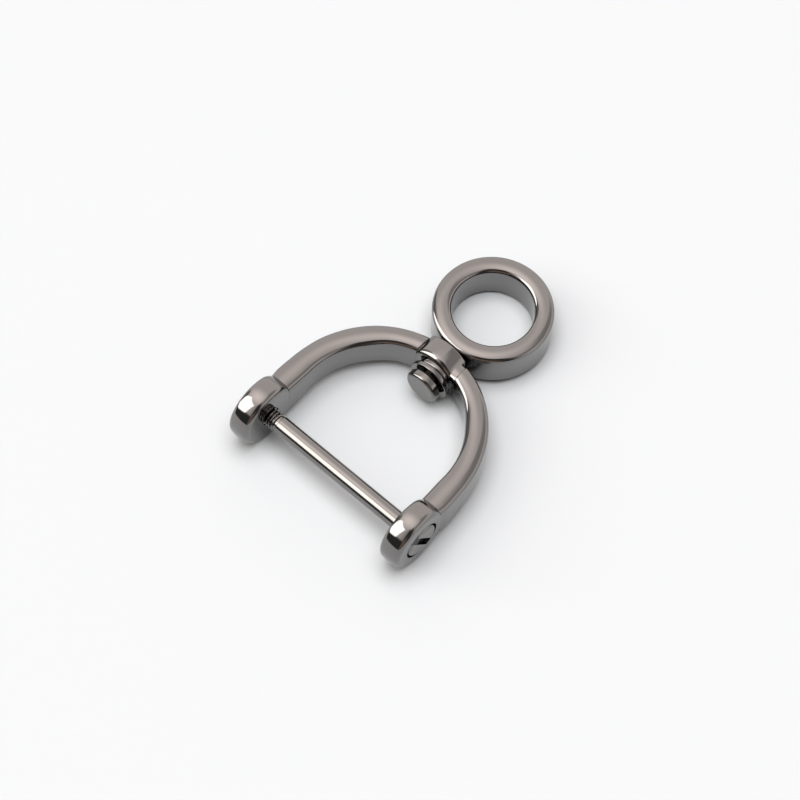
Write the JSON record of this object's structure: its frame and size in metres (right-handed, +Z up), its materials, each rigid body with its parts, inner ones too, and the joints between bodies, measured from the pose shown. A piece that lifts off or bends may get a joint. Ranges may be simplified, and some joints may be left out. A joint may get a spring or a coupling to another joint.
{
  "type": "swivel horseshoe buckle",
  "caption": "Cast horseshoe shackle closed by a slotted screw pin across its lugs, with a thick ring that swivels on a riveted post at the crown.",
  "frame": {"origin": "on the table, below the middle of the buckle's box", "axes": "+X along the screw pin towards its slotted head, +Y from the pin towards the ring, +Z up from the table"},
  "size_m": [0.0326, 0.0476, 0.0105],
  "materials": {
    "gunmetal_cast": "polished zinc casting with dark gunmetal plating",
    "gunmetal_pin": "turned steel pin with a thinner, brighter gunmetal plating",
    "gunmetal_rivet": "turned steel with polished gunmetal plating"
  },
  "bodies": {
    "shackle_body": {"shackle": "gunmetal_cast"},
    "pin_body": {"screw_pin": "gunmetal_pin"},
    "ring_body": {"swivel_ring": "gunmetal_cast", "washer": "gunmetal_rivet", "swivel_rivet": "gunmetal_rivet"}
  },
  "joints": [
    {"name": "ring_swivel", "type": "hinge", "parent": "shackle_body", "child": "ring_body", "pos_m": [0, 0.00575, 0.004], "axis": [0, 0.9987, -0.0514], "continuous": true},
    {"name": "pin_withdraw", "type": "slide", "parent": "shackle_body", "child": "pin_body", "axis": [1, 0, 0], "range_m": [0, 0.034]}
  ]
}
